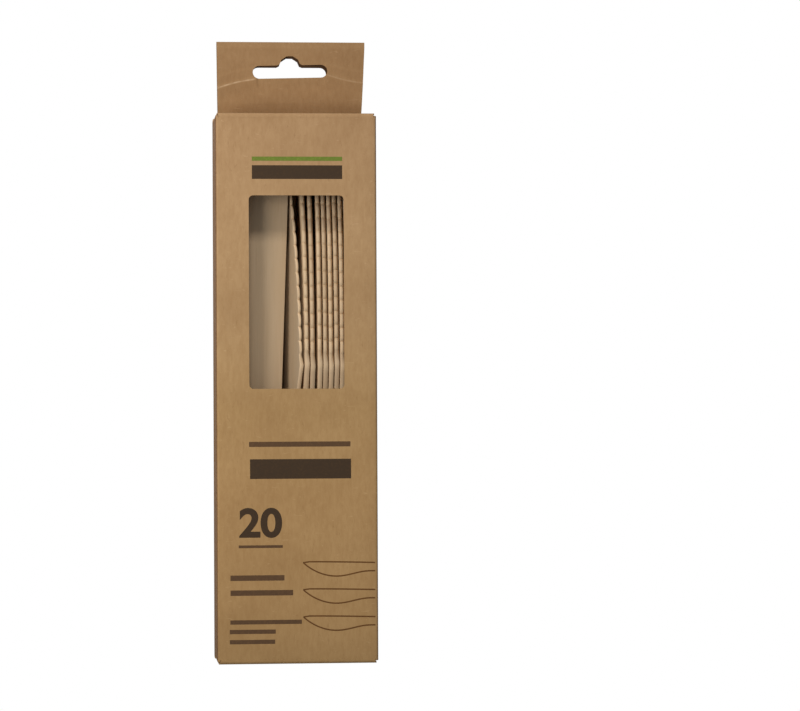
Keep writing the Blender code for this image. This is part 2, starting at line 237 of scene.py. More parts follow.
def mesh_object(name, verts, faces, mat, smooth_angle=None):
    """A new mesh object in the scene, with its faces turned outwards."""
    mesh = bpy.data.meshes.new(name)
    mesh.from_pydata(verts, [], faces)
    mesh.update()
    bm = bmesh.new()
    bm.from_mesh(mesh)
    bmesh.ops.remove_doubles(bm, verts=bm.verts, dist=1e-7)
    bmesh.ops.recalc_face_normals(bm, faces=bm.faces)
    bm.to_mesh(mesh)
    bm.free()
    mesh.materials.append(mat)
    if smooth_angle is not None:
        mesh.shade_smooth()
        mesh.set_sharp_from_angle(angle=math.radians(smooth_angle))
    return link(bpy.data.objects.new(name, mesh))


def cut(base, cutter):
    """Cuts one object out of another and deletes the cutter."""
    modifier = base.modifiers.new("cut", "BOOLEAN")
    modifier.operation = "DIFFERENCE"
    modifier.object = cutter
    modifier.solver = "EXACT"
    bpy.context.view_layer.update()
    graph = bpy.context.evaluated_depsgraph_get()
    result = bpy.data.meshes.new_from_object(base.evaluated_get(graph))
    base.modifiers.clear()
    old = base.data
    base.data = result
    bpy.data.meshes.remove(old)
    bpy.data.objects.remove(cutter, do_unlink=True)


def spaced(start, end, steps):
    """Evenly spaced values from start to end, both of them included."""
    return [start + (end - start) * i / steps for i in range(steps + 1)]


def arc(cx, cy, radius, start, end, steps):
    """Points along an arc, with its angles in degrees."""
    points = []
    for i in range(steps + 1):
        a = math.radians(start + (end - start) * i / steps)
        points.append((cx + radius * math.cos(a), cy + radius * math.sin(a)))
    return points


def prism(name, outline, low, high, mat):
    """A closed solid between two heights, over an outline of x and y."""
    count = len(outline)
    verts = [(x, y, low) for x, y in outline] + [(x, y, high) for x, y in outline]
    faces = [tuple(range(count)), tuple(range(count, 2 * count))]
    for i in range(count):
        j = (i + 1) % count
        faces.append((i, j, count + j, count + i))
    return mesh_object(name, verts, faces, mat)


# Materials

class Nodes:
    """A small helper that adds and wires shader nodes."""

    def __init__(self, name):
        self.mat = bpy.data.materials.new(name)
        self.mat.use_nodes = True
        self.tree = self.mat.node_tree
        self.shader = self.tree.nodes["Principled BSDF"]
        self.place = self.add("ShaderNodeTexCoord").outputs["Object"]

    def add(self, kind, **settings):
        node = self.tree.nodes.new(kind)
        for key, value in settings.items():
            setattr(node, key, value)
        return node

    def wire(self, source, target):
        self.tree.links.new(source, target)

    def scaled(self, scale):
        node = self.add("ShaderNodeMapping")
        node.inputs["Scale"].default_value = scale
        self.wire(self.place, node.inputs["Vector"])
        return node.outputs["Vector"]

    def shifted(self, distance):
        node = self.add("ShaderNodeMapping")
        node.inputs["Location"].default_value = distance
        self.wire(self.place, node.inputs["Vector"])
        return node.outputs["Vector"]

    def noise(self, vector, scale, detail, roughness, distortion=0.0):
        node = self.add("ShaderNodeTexNoise")
        node.inputs["Scale"].default_value = scale
        node.inputs["Detail"].default_value = detail
        node.inputs["Roughness"].default_value = roughness
        node.inputs["Distortion"].default_value = distortion
        self.wire(vector, node.inputs["Vector"])
        return node.outputs["Fac"]

    def ramp(self, source, stops):
        node = self.add("ShaderNodeValToRGB")
        band = node.color_ramp
        while len(band.elements) < len(stops):
            band.elements.new(0.5)
        for element, (position, colour) in zip(band.elements, stops):
            element.position = position
            element.color = (*colour, 1.0)
        self.wire(source, node.inputs["Fac"])
        return node.outputs["Color"]

    def grey(self, source, low, high, from_value=0.0, to_value=1.0):
        """Maps low to from_value and high to to_value, with nothing beyond them."""
        node = self.add("ShaderNodeMapRange")
        node.inputs["From Min"].default_value = low
        node.inputs["From Max"].default_value = high
        node.inputs["To Min"].default_value = from_value
        node.inputs["To Max"].default_value = to_value
        self.wire(source, node.inputs["Value"])
        return node.outputs["Result"]

    def math(self, operation, a, b=None):
        node = self.add("ShaderNodeMath", operation=operation)
        for slot, value in zip(node.inputs, (a, b)):
            if value is None:
                continue
            if isinstance(value, (int, float)):
                slot.default_value = value
            else:
                self.wire(value, slot)
        return node.outputs["Value"]

    def mix(self, factor, a, b, blend="MIX"):
        node = self.add("ShaderNodeMix", data_type="RGBA", blend_type=blend)
        slots = (node.inputs[0], node.inputs[6], node.inputs[7])
        for slot, value in zip(slots, (factor, a, b)):
            if isinstance(value, (int, float)):
                slot.default_value = value
            elif isinstance(value, tuple):
                slot.default_value = (*value, 1.0)
            else:
                self.wire(value, slot)
        return node.outputs[2]

    def bump(self, height, strength, distance):
        node = self.add("ShaderNodeBump")
        node.inputs["Strength"].default_value = strength
        node.inputs["Distance"].default_value = distance
        self.wire(height, node.inputs["Height"])
        return node.outputs["Normal"]


def linear(r, g, b):
    """Scene-linear colour from display values of 0 to 255."""
    def one(c):
        c /= 255.0
        return c / 12.92 if c <= 0.04045 else ((c + 0.055) / 1.055) ** 2.4
    return (one(r), one(g), one(b))


# Painted light and shade on the card, from the pack's foot (0) to its closed top (1): darkest at the
# foot, brightest a little above the middle
KRAFT_PAINTED_FALLOFF = (
    (0.00, (0.80, 0.77, 0.64)), (0.10, (0.88, 0.84, 0.70)), (0.30, (0.92, 0.88, 0.74)),
    (0.46, (0.90, 0.88, 0.75)), (0.62, (0.97, 0.97, 0.93)), (1.00, (0.92, 0.89, 0.88)),
)


def worn_and_lit_creases(n, base):
    """Card colour with pale broken lines where the header has been creased: rubbed fibres and a
    painted highlight.
    """
    place = n.add("ShaderNodeSeparateXYZ")
    n.wire(n.place, place.inputs["Vector"])
    speckle = n.grey(n.noise(n.place, 420.0, 3.0, 0.6), 0.38, 0.58, 0.25, 1.0)
    for sign, (top_y, low_y), paleness in zip((-1, 1), CREASES_Y, CREASE_WEAR_AND_HIGHLIGHT):
        across = n.math("MULTIPLY", place.outputs["X"], sign)
        side = n.math("DIVIDE", n.math("SUBTRACT", across, CREASE_TOP_X), CREASE_SPAN)
        fall = n.math("MULTIPLY", side, low_y - top_y)
        bow = n.math("MULTIPLY", n.math("SINE", n.math("MULTIPLY", side, math.pi)), -sign * CREASE_BOW)
        line_y = n.math("ADD", n.math("ADD", fall, bow), top_y)
        off = n.math("ABSOLUTE", n.math("SUBTRACT", place.outputs["Y"], line_y))
        band = n.math("MULTIPLY", n.grey(off, 0.00008, 0.00040, paleness, 0.0), n.grey(side, -0.06, 0.02))
        base = n.mix(n.math("MULTIPLY", band, speckle), base, linear(214, 184, 150))
    return base


def kraft_material(name, tint, creased=False):
    """Brown kraft card with fine fibres, darkened towards the pack's foot as painted shade. Tint
    multiplies its colour.
    """
    n = Nodes(name)
    cloud = n.noise(n.place, 38.0, 4.0, 0.55)
    base = n.ramp(cloud, [(0.30, linear(172, 138, 99)), (0.52, linear(181, 147, 107)),
                          (0.75, linear(188, 154, 114))])
    grain = n.noise(n.scaled((1.0, 0.35, 1.0)), 900.0, 3.0, 0.6)
    base = n.mix(n.grey(grain, 0.35, 0.68, 0.0, 0.24), base, linear(146, 109, 72))
    fibres = n.noise(n.scaled((1.0, 0.22, 1.0)), 1500.0, 2.0, 0.5, 1.2)
    base = n.mix(n.grey(fibres, 0.66, 0.74, 0.0, 0.22), base, linear(120, 84, 52))
    pale = n.noise(n.scaled((0.25, 1.0, 1.0)), 1300.0, 2.0, 0.5, 1.0)
    base = n.mix(n.grey(pale, 0.67, 0.75, 0.0, 0.30), base, linear(212, 180, 142))
    base = n.mix(1.0, base, tint, "MULTIPLY")
    # Painted shade: the card darkens towards the pack's foot.
    along = n.add("ShaderNodeSeparateXYZ")
    n.wire(n.place, along.inputs["Vector"])
    falloff_share = n.grey(along.outputs["Y"], BOTTOM_Y, TOP_Y)
    base = n.mix(1.0, base, n.ramp(falloff_share, KRAFT_PAINTED_FALLOFF), "MULTIPLY")
    # Rubbed fibres and a painted highlight: pale lines along the header's creases.
    if creased:
        base = worn_and_lit_creases(n, base)
    n.wire(base, n.shader.inputs["Base Color"])
    n.wire(n.grey(grain, 0.3, 0.7, 0.78, 0.92), n.shader.inputs["Roughness"])
    relief = n.math("ADD", n.math("MULTIPLY", cloud, 0.6), n.math("MULTIPLY", grain, 0.4))
    n.wire(n.bump(relief, 0.25, 0.0002), n.shader.inputs["Normal"])
    n.shader.inputs["Specular IOR Level"].default_value = 0.25
    return n.mat


def wood_material(name, tone, shift):
    """Pale planed birch, its grain along Y. Shift gives each knife another part of the grain."""
    n = Nodes(name)
    n.place = n.shifted(shift)
    along = n.scaled((1.0, 0.06, 1.0))
    bands = n.noise(along, 260.0, 3.0, 0.55, 0.6)
    base = n.ramp(bands, [(0.25, linear(*(c * tone for c in (192, 165, 131)))),
                          (0.50, linear(*(c * tone for c in (200, 174, 141)))),
                          (0.78, linear(*(c * tone for c in (208, 183, 151))))])
    pores = n.noise(n.scaled((1.0, 0.03, 1.0)), 1600.0, 2.0, 0.6)
    base = n.mix(n.grey(pores, 0.60, 0.74, 0.0, 0.22), base, linear(165, 133, 98))
    flame = n.noise(n.scaled((0.5, 0.25, 1.0)), 70.0, 2.0, 0.5)
    base = n.mix(n.grey(flame, 0.40, 0.70, 0.0, 0.22), base, linear(190, 160, 124))
    n.wire(base, n.shader.inputs["Base Color"])
    n.wire(n.grey(pores, 0.3, 0.7, 0.55, 0.72), n.shader.inputs["Roughness"])
    n.wire(n.bump(pores, 0.25, 0.0001), n.shader.inputs["Normal"])
    n.shader.inputs["Specular IOR Level"].default_value = 0.3
    return n.mat


def ink_material(name, colour):
    """Flat ink, a little uneven where it sank into the card."""
    n = Nodes(name)
    speckle = n.noise(n.place, 1400.0, 3.0, 0.6)
    tone = n.mix(n.grey(speckle, 0.45, 0.75, 0.0, 0.35), colour, tuple(c * 1.9 for c in colour))
    n.wire(tone, n.shader.inputs["Base Color"])
    n.wire(n.grey(speckle, 0.3, 0.7, 0.65, 0.8), n.shader.inputs["Roughness"])
    n.shader.inputs["Specular IOR Level"].default_value = 0.25
    return n.mat


def floor_material():
    """A pale floor that reads as plain white where the camera sees it."""
    mat = bpy.data.materials.new("floor_white")
    mat.use_nodes = True
    tree = mat.node_tree
    shader = tree.nodes["Principled BSDF"]
    shader.inputs["Base Color"].default_value = (0.80, 0.80, 0.80, 1.0)
    shader.inputs["Roughness"].default_value = 0.9
    glow = tree.nodes.new("ShaderNodeEmission")
    glow.inputs["Color"].default_value = (1.0, 1.0, 1.0, 1.0)
    path = tree.nodes.new("ShaderNodeLightPath")
    mixer = tree.nodes.new("ShaderNodeMixShader")
    tree.links.new(path.outputs["Is Camera Ray"], mixer.inputs["Fac"])
    tree.links.new(shader.outputs["BSDF"], mixer.inputs[1])
    tree.links.new(glow.outputs["Emission"], mixer.inputs[2])
    tree.links.new(mixer.outputs["Shader"], tree.nodes["Material Output"].inputs["Surface"])
    return mat


# Card

def panel_swell(x, y):
    """How far the front panel stands off its plane: next to nothing, and less at the folds."""
    across = max(0.0, 1.0 - (x / HALF_WIDTH) ** 2)
    along = max(0.0, 1.0 - ((y - MIDDLE_Y) / HALF_LENGTH) ** 4)
    wave = noise.noise(Vector((x * PANEL_WAVES[0], y * PANEL_WAVES[1], 0.3)))
    return across * along * (PANEL_WAVE * wave - PANEL_WAVE) - INK_ROOM


def finish_card(ob):
    """Smooth folds and sharp cut edges."""
    ob.data.shade_smooth()
    ob.data.set_sharp_from_angle(angle=math.radians(40))
    return ob


def strip(name, path, spans, place, mat, columns, swell=None):
    """A folded strip of card. Path holds its outer face's points in one plane, in order, with the
    card to their left. Spans holds where it starts and ends across that plane at each of them.
    Swell gives how far it lifts at a place."""
    outer = [Vector(p) for p in path]
    inner = []
    for i, p in enumerate(outer):
        before = outer[max(i - 1, 0)]
        after = outer[min(i + 1, len(outer) - 1)]
        first = (p - before).normalized() if i > 0 else (after - p).normalized()
        second = (after - p).normalized() if i < len(outer) - 1 else first
        along = (first + second).normalized()
        normal = Vector((-along.y, along.x))
        stretch = 1.0 / max(0.5, first.dot(along))
        inner.append(p + normal * CARD * stretch)
    verts = []
    for line in (outer, inner):
        for (a, b), (low, high) in zip(line, spans):
            for k in range(columns + 1):
                w = low + (high - low) * k / columns
                x, y, z = place(a, b, w)
                if swell:
                    z += swell(x, y, z)
                verts.append((x, y, z))
    row = columns + 1
    sheet = len(path) * row
    faces = []
    for i in range(len(path) - 1):
        for k in range(columns):
            a = i * row + k
            faces.append((a, a + 1, a + row + 1, a + row))
            faces.append((sheet + a + 1, sheet + a, sheet + a + row, sheet + a + row + 1))
        for k in (0, columns):
            a = i * row + k
            faces.append((a, a + row, sheet + a + row, sheet + a))
    for i in (0, len(path) - 1):
        for k in range(columns):
            a = i * row + k
            faces.append((a, a + 1, sheet + a + 1, sheet + a))
    return mesh_object(name, verts, faces, mat, 40)


def ring(inset):
    """Points of the carton's section, inset from its outside."""
    x1 = HALF_WIDTH - inset
    z0 = BACK_Z + inset
    z1 = FRONT_Z - inset
    r = FOLD - inset
    corners = [
        (x1 - r, z1 - r, 0), (-x1 + r, z1 - r, 90), (-x1 + r, z0 + r, 180), (x1 - r, z0 + r, 270),
    ]
    points = []
    for index, (cx, cz, start) in enumerate(corners):
        points += arc(cx, cz, r, start, start + 90, FOLD_STEPS)
        nx, nz, nstart = corners[(index + 1) % 4]
        ex, ez = points[-1]
        sx, sz = arc(nx, nz, r, nstart, nstart, 1)[0]
        flats = WALL_COLUMNS[index % 2]
        for k in range(1, flats):
            t = k / flats
            points.append((ex + (sx - ex) * t, ez + (sz - ez) * t))
    return points


def end_band(x, z):
    """How far short of the carton's ends the section's point stops, for the flaps' folds."""
    if z > FRONT_Z - FOLD and abs(x) > HALF_WIDTH - FOLD * 0.99:
        return CORNER_BAND
    if z > FRONT_Z - FOLD:
        return EDGE_BAND
    low = BACK_Z + FOLD
    if z < low:
        return SIDE_BAND * max(0.0, (z - BACK_Z) / FOLD) ** 2
    return SIDE_BAND


def carton_walls(mat):
    """The carton's four walls as one tube of card with soft folds, open at both ends."""
    outer = ring(0.0)
    inner = ring(CARD)
    bands = [end_band(x, z) for x, z in outer]
    verts = []
    for j in range(WALL_ROWS + 1):
        share = 2.0 * j / WALL_ROWS - 1.0
        for line in (outer, inner):
            for (x, z), band in zip(line, bands):
                y = MIDDLE_Y + share * (HALF_LENGTH - band)
                if z > FRONT_Z - FOLD:
                    z += panel_swell(x, y)
                verts.append((x, y, z))
    count = len(outer)
    faces = []
    for j in range(WALL_ROWS):
        a = j * 2 * count
        b = (j + 1) * 2 * count
        for i in range(count):
            k = (i + 1) % count
            faces.append((a + i, a + k, b + k, b + i))
            faces.append((a + count + k, a + count + i, b + count + i, b + count + k))
    for j in (0, WALL_ROWS):
        a = j * 2 * count
        for i in range(count):
            k = (i + 1) % count
            faces.append((a + i, a + k, a + count + k, a + count + i))
    return mesh_object("carton_walls", verts, faces, mat)


def cut_window(walls, edge_and_shade_mat, side_shade_mat):
    """Cuts the window, gives its edge its own card, and gives the side walls a darker card that is
    painted shade.
    """
    half = WINDOW_WIDTH / 2
    r = WINDOW_RADIUS
    y0 = WINDOW_LOW_Y
    y1 = WINDOW_LOW_Y + WINDOW_LENGTH
    outline = arc(half - r, y1 - r, r, 0, 90, 6) + arc(r - half, y1 - r, r, 90, 180, 6)
    outline += arc(r - half, y0 + r, r, 180, 270, 6) + arc(half - r, y0 + r, r, 270, 360, 6)
    walls.data.materials.append(edge_and_shade_mat)
    low = CEILING_Z - WINDOW_CUT_ROOM
    cut(walls, prism("window", outline, low, FRONT_Z + WINDOW_CUT_ROOM, edge_and_shade_mat))
    # Painted shade: the side walls take the darker card.
    walls.data.materials.append(side_shade_mat)
    for face in walls.data.polygons:
        if abs(face.normal.x) > 0.75 and abs(face.center.x) > HALF_WIDTH - CARD * 0.5:
            face.material_index = 2
    return finish_card(walls)


def header_span(y):
    """Where the header's sides are at a place along it. It was folded a little askew."""
    share = (y - TOP_Y) / HEADER_LENGTH
    left, right = (HALF_WIDTH - base + (base - top) * share for base, top in HEADER_INSETS)
    return (-left, right)


def slot_outline(shift, aside, tilt):
    """The hang slot with its hump, shifted towards the carton and aside, and turned."""
    near = TOP_Y + SLOT_BASE - shift
    far = near + SLOT_HEIGHT
    crown = far + HUMP_HEIGHT
    radius = SLOT_HEIGHT / 2
    end = SLOT_WIDTH / 2 - radius
    middle_y = near + radius
    flank = (HUMP_BASE_WIDTH + HUMP_TOP_WIDTH) / 4
    half_hump = [
        (HUMP_BASE_WIDTH / 2 + HUMP_FLARE, far),
        (HUMP_BASE_WIDTH / 2 - HUMP_FOOT[0], far + HUMP_FOOT[1]),
        (flank + HUMP_SHOULDER[0], crown - HUMP_SHOULDER[1]),
        (HUMP_TOP_WIDTH / 2, crown - HUMP_CROWN_DROP),
        (HUMP_TOP_WIDTH / 3, crown),
    ]
    points = arc(end, middle_y, radius, -90, 90, 12) + half_hump
    points += [(-x, y) for x, y in reversed(half_hump)]
    points += arc(-end, middle_y, radius, 90, 270, 12)
    c = math.cos(tilt)
    s = math.sin(tilt)
    turned = [(x * c - (y - middle_y) * s, x * s + (y - middle_y) * c) for x, y in points]
    return [(aside + x, middle_y + y) for x, y in turned]


def crease(off, size):
    """A crease's height: a short step on its upper side and a long soft fall on its lower one."""
    length = CREASE_WIDTH if off > 0 else CREASE_FALL
    return size * math.exp(-(off / length) ** 2)


def header_lift(x, y, z):
    """The header's front layer, lifted a little and creased beside the slot. The rear one is flat."""
    if z < CARD + LAYER_GAP / 2 or y < TOP_Y - EDGE_BAND or y > HEADER_END - FLOOR_Z / 2:
        return 0.0
    side = (abs(x) - CREASE_TOP_X) / CREASE_SPAN
    up = min(1.0, max(0.0, (y - TOP_Y) / HEADER_RISE))
    down = min(1.0, max(0.0, (HEADER_END - FLOOR_Z / 2 - y) / FOLD_SLOPE))
    body = up * up * (3 - 2 * up) * math.sin(down * math.pi / 2)
    wave = noise.noise(Vector((x * HEADER_WAVES, y * HEADER_WAVES, 4.0)))
    lift = HEADER_LIFT * body * (0.9 + 0.12 * min(max(side, 0.0), 1.0)) + HEADER_WAVE * body * wave
    if side > -0.1:
        bow = CREASE_BOW * math.sin(max(side, 0.0) * math.pi) * (1 if x < 0 else -1)
        top_y, low_y = CREASES_Y[0 if x < 0 else 1]
        crease_y = top_y + (low_y - top_y) * side + bow
        lift += body * crease(y - crease_y, CREASE_HEIGHT)
        lift += body * crease(y - crease_y - SECOND_CREASE_UP, SECOND_CREASE_HEIGHT)
    return lift


def header_and_back(mat, edge_and_shade_mat):
    """The outer back layer, which runs on into the header's rear layer, folds over and returns. The
    slot's cut edges and the rear layer's inner face take a dark card that is painted shade.
    """
    radius = FLOOR_Z / 2
    fold_y = HEADER_END - radius
    rear = spaced(BOTTOM_Y, TOP_Y, 12) + spaced(TOP_Y + HEADER_STEP, fold_y, 22)
    path = [(y, 0.0) for y in rear]
    path += arc(fold_y, radius, radius, -90, 90, 8)[1:]
    path += [(y, FLOOR_Z) for y in spaced(fold_y, TOP_Y - EDGE_BAND, 84)[1:]]
    spans = []
    for i, (y, _) in enumerate(path):
        if y <= TOP_Y and i < len(rear):
            half = HALF_WIDTH - OUTER_BACK_INSET
            spans.append((-half, half))
        elif y < TOP_Y:
            spans.append((FOLD - HALF_WIDTH, HALF_WIDTH - FOLD))
        else:
            spans.append(header_span(y))
    sheet = strip("header_and_back", path, spans, lambda a, b, w: (w, a, b), mat, 96, header_lift)
    sheet.data.materials.append(edge_and_shade_mat)
    between = CARD + LAYER_GAP / 2
    # The slots' cut edges take the dark painted-shade card.
    front_slot = slot_outline(0.0, -SLOT_ASIDE, SLOT_TILT)
    cut(sheet, prism("front_slot", front_slot, between, SLOT_CUT_HIGH, edge_and_shade_mat))
    rear_slot = slot_outline(SLOT_LAYER_SHIFT, -SLOT_ASIDE - REAR_SLOT_ASIDE, 0.0)
    cut(sheet, prism("rear_slot", rear_slot, SLOT_CUT_LOW, between, edge_and_shade_mat))
    # Painted shade: the rear layer's inner face, seen through the slot, takes the dark card.
    for face in sheet.data.polygons:
        centre = face.center
        if centre.y > TOP_Y and face.normal.z > 0.9 and centre.z < between:
            face.material_index = 1
    return finish_card(sheet)


def closure(name, end, mat):
    """A tuck flap with the fold that carries it, hinged on the front panel, and its curved tongue."""
    hinge_y = MIDDLE_Y + end * HALF_LENGTH
    path = [(EDGE_BAND, 0.0)]
    path += [(FOLD - r, FOLD - d) for r, d in arc(0.0, 0.0, FOLD, 90, 0, 8)]
    foot = TONGUE_RADIUS - TONGUE_FOLD
    path += [(0.0, down) for down in spaced(FOLD, foot, 8)[1:]]
    path += [(TONGUE_FOLD - r, foot - d) for r, d in arc(0.0, 0.0, TONGUE_FOLD, 0, -86, 6)[1:]]
    sweep = TONGUE_LENGTH / TONGUE_RADIUS
    start = math.asin(TONGUE_FOLD / TONGUE_RADIUS) * 1.25
    for a in spaced(start, sweep, 14):
        path.append((TONGUE_RADIUS * math.sin(a), TONGUE_RADIUS * math.cos(a)))
    spans = []
    lid_half = HALF_WIDTH - LID_SIDE_INSET
    tongue_half = HALF_WIDTH - 2 * CARD - GAP
    for inward, down in path:
        if down < FOLD:
            half = HALF_WIDTH - FOLD + (FOLD - LID_SIDE_INSET) * (down / FOLD)
        elif down < foot:
            half = lid_half
        else:
            reach = max(0.0, (inward - (TONGUE_LENGTH - TONGUE_CORNER)) / TONGUE_CORNER)
            rounding = 1.0 - math.sqrt(max(0.0, 1.0 - min(reach, 1.0) ** 2))
            half = min(lid_half, tongue_half) - TONGUE_CORNER * rounding
        spans.append((-half, half))

    def place(inward, up, w):
        return (w, hinge_y - end * inward, FRONT_Z + up)

    return strip(name, [(inward, -down) for inward, down in path], spans, place, mat, 20)


def dust_flap(name, side, end, mat):
    """A short flap folded in from the end of a side wall."""
    root_y = HALF_LENGTH - SIDE_BAND
    face_y = HALF_LENGTH - CARD - GAP
    r = DUST_FLAP_FOLD
    path = [(HALF_WIDTH, root_y)]
    path += arc(HALF_WIDTH - r, face_y - r, r, 0, 90, 5)
    tip = HALF_WIDTH - DUST_FLAP_LENGTH
    path += [(x, face_y) for x in spaced(HALF_WIDTH - r, tip, 6)[1:]]
    low_root = FLOOR_Z + GAP + 2 * CARD + DUST_FLAP_ROOM
    high_root = CEILING_Z - GAP
    spans = []
    for x, _ in path:
        reach = min(1.0, max(0.0, (HALF_WIDTH - r - x) / (DUST_FLAP_LENGTH - r)))
        spans.append((low_root + DUST_FLAP_TAPER * reach, high_root - DUST_FLAP_TAPER * reach))

    def place(x, y, w):
        return (side * x, MIDDLE_Y + end * y, w)

    return strip(name, path, spans, place, mat, 6)


# Print

def drape(ob, mat, spacing=DRAPE_SPACING):
    """Lays a flat outline on the front panel, a hair's breadth over the card."""
    bm = bmesh.new()
    bm.from_mesh(ob.data)
    xs = [v.co.x for v in bm.verts]
    ys = [v.co.y for v in bm.verts]
    for low, high, normal in ((min(xs), max(xs), (1, 0, 0)), (min(ys), max(ys), (0, 1, 0))):
        count = int((high - low) / spacing)
        for i in range(1, count + 1):
            at = low + (high - low) * i / (count + 1)
            geometry = bm.verts[:] + bm.edges[:] + bm.faces[:]
            bmesh.ops.bisect_plane(bm, geom=geometry, plane_co=Vector(normal) * at, plane_no=normal)
    for v in bm.verts:
        v.co.z = FRONT_Z + panel_swell(v.co.x, v.co.y) + INK_ROOM
    bmesh.ops.recalc_face_normals(bm, faces=bm.faces)
    if bm.faces and sum(f.normal.z for f in bm.faces) < 0.0:
        bmesh.ops.reverse_faces(bm, faces=bm.faces)
    bm.to_mesh(ob.data)
    bm.free()
    ob.data.materials.clear()
    ob.data.materials.append(mat)
    return ob


def on_front(left, down):
    """A place on the front panel, in metres from its left edge and down from its closed top."""
    return (left - HALF_WIDTH, TOP_Y - down)


def ink_polygon(name, outline, mat):
    """A flat printed shape."""
    mesh = bpy.data.meshes.new(name)
    mesh.from_pydata([(x, y, 0.0) for x, y in outline], [], [tuple(range(len(outline)))])
    return drape(link(bpy.data.objects.new(name, mesh)), mat)


def ink_bar(bar, mat):
    """A printed bar from a row of the tables above."""
    name, left, right, down, height = bar
    x0, y1 = on_front(left * MM, (down - height / 2) * MM)
    x1, y0 = on_front(right * MM, (down + height / 2) * MM)
    return ink_polygon(name, [(x0, y0), (x1, y0), (x1, y1), (x0, y1)], mat)


def ink_number(name, text, place, mat):
    """Printed digits that fill a place on the front panel."""
    left, right, top, bottom = (side * MM for side in place)
    curve = bpy.data.curves.new(name, "FONT")
    curve.body = text
    curve.offset = NUMBER_BOLDNESS
    ob = link(bpy.data.objects.new(name, curve))
    bpy.context.view_layer.update()
    mesh = bpy.data.meshes.new_from_object(ob)
    bpy.data.objects.remove(ob, do_unlink=True)
    xs = [v.co.x for v in mesh.vertices]
    ys = [v.co.y for v in mesh.vertices]
    x0, y1 = on_front(left, top)
    x1, y0 = on_front(right, bottom)
    for v in mesh.vertices:
        v.co.x = x0 + (x1 - x0) * (v.co.x - min(xs)) / (max(xs) - min(xs))
        v.co.y = y0 + (y1 - y0) * (v.co.y - min(ys)) / (max(ys) - min(ys))
    return drape(link(bpy.data.objects.new(name, mesh)), mat)


def ink_line(name, points, width, mat):
    """A drawn line of even width through the points."""
    left = []
    right = []
    line = [Vector(p) for p in points]
    for i, p in enumerate(line):
        ahead = line[min(i + 1, len(line) - 1)] - line[max(i - 1, 0)]
        normal = Vector((-ahead.y, ahead.x)).normalized() * (width / 2)
        left.append(p + normal)
        right.append(p - normal)
    verts = [(p.x, p.y, 0.0) for p in left + right]
    count = len(line)
    faces = [(i, i + 1, count + i + 1, count + i) for i in range(count - 1)]
    mesh = bpy.data.meshes.new(name)
    mesh.from_pydata(verts, [], faces)
    return drape(link(bpy.data.objects.new(name, mesh)), mat, spacing=1.0)


# Knives

def belly(u):
    """The blade's width at a distance from the handle's end."""
    t = (u - SHOULDER_AT) / (KNIFE_LENGTH - SHOULDER_AT)
    return BLADE_WIDTH * max(0.0, 1.0 - t ** BELLY_POWER) ** BELLY_ROOT


def knife_outline():
    """Points (v, u, inner v): v across from the spine, u along, inner v where the bevel starts."""
    r = HANDLE_CORNER
    points = arc(HANDLE_WIDTH - r, r, r, -90, 0, 8)
    for i in range(13):
        s = i / 12
        u = THROAT_AT + (SHOULDER_AT - THROAT_AT) * s
        points.append((HANDLE_WIDTH + (BLADE_WIDTH - HANDLE_WIDTH) * s ** THROAT_POWER, u))
    points = [(v, u, v) for v, u in points]
    for i in range(SCALLOP_COUNT * SCALLOP_STEPS + 1):
        u = FIRST_SCALLOP_AT + SCALLOP_PITCH * i / SCALLOP_STEPS
        notch = 1.0 - abs(math.sin(math.pi * i / SCALLOP_STEPS)) ** SCALLOP_POWER
        points.append((belly(u) - SCALLOP_DEPTH * notch, u, belly(u) - BEVEL_WIDTH))
    last = FIRST_SCALLOP_AT + SCALLOP_PITCH * SCALLOP_COUNT
    for share in (0.2, 0.35, 0.5, 0.65, 0.78, 0.88, 0.95):
        u = last + (KNIFE_LENGTH - last) * share
        points.append((belly(u), u, belly(u)))
    end = KNIFE_LENGTH - TIP_SPINE_RADIUS
    points += [(v, u, v) for v, u in arc(TIP_SPINE_RADIUS, end, TIP_SPINE_RADIUS, 70, 180, 6)]
    points += [(v, u, v) for v, u in arc(r, r, r, 180, 270, 8)]
    return points


def knife_mesh(name):
    """A cut and sanded knife: rubbed edges, and a bevel along the scallops of its front face."""
    outline = knife_outline()
    count = len(outline)
    flat = [Vector((v, u)) for v, u, _ in outline]
    rings = [[], [], [], [], []]
    for i, (v, u, inner) in enumerate(outline):
        ahead = flat[(i + 1) % count] - flat[i - 1]
        normal = Vector((-ahead.y, ahead.x)).normalized() * EASING
        p = flat[i]
        q = p + normal
        low = 0.0 if inner == v else KNIFE_THICKNESS - EDGE_THICKNESS
        rings[0].append((q.x, q.y, KNIFE_THICKNESS))
        rings[1].append((p.x, p.y, KNIFE_THICKNESS - EASING))
        rings[2].append((p.x, p.y, low + EASING))
        rings[3].append((q.x, q.y, low))
        rings[4].append((q.x, q.y, 0.0) if inner == v else (inner, u, 0.0))
    verts = [p for ring_points in rings for p in ring_points]
    faces = [tuple(range(count)), tuple(range(4 * count, 5 * count))]
    for k in range(4):
        for i in range(count):
            j = (i + 1) % count
            faces.append((k * count + i, k * count + j, (k + 1) * count + j, (k + 1) * count + i))
    mesh = bpy.data.meshes.new(name)
    mesh.from_pydata(verts, [], faces)
    bm = bmesh.new()
    bm.from_mesh(mesh)
    bmesh.ops.remove_doubles(bm, verts=bm.verts, dist=1e-6)
    bmesh.ops.triangulate(bm, faces=[f for f in bm.faces if len(f.verts) > 4])
    bmesh.ops.recalc_face_normals(bm, faces=bm.faces)
    bm.to_mesh(mesh)
    bm.free()
    mesh.shade_smooth()
    mesh.set_sharp_from_angle(angle=math.radians(50))
    return mesh


def wobble(number, size):
    """A small unevenness, another one for each number."""
    return size * math.sin(2.4 * number + 0.7)


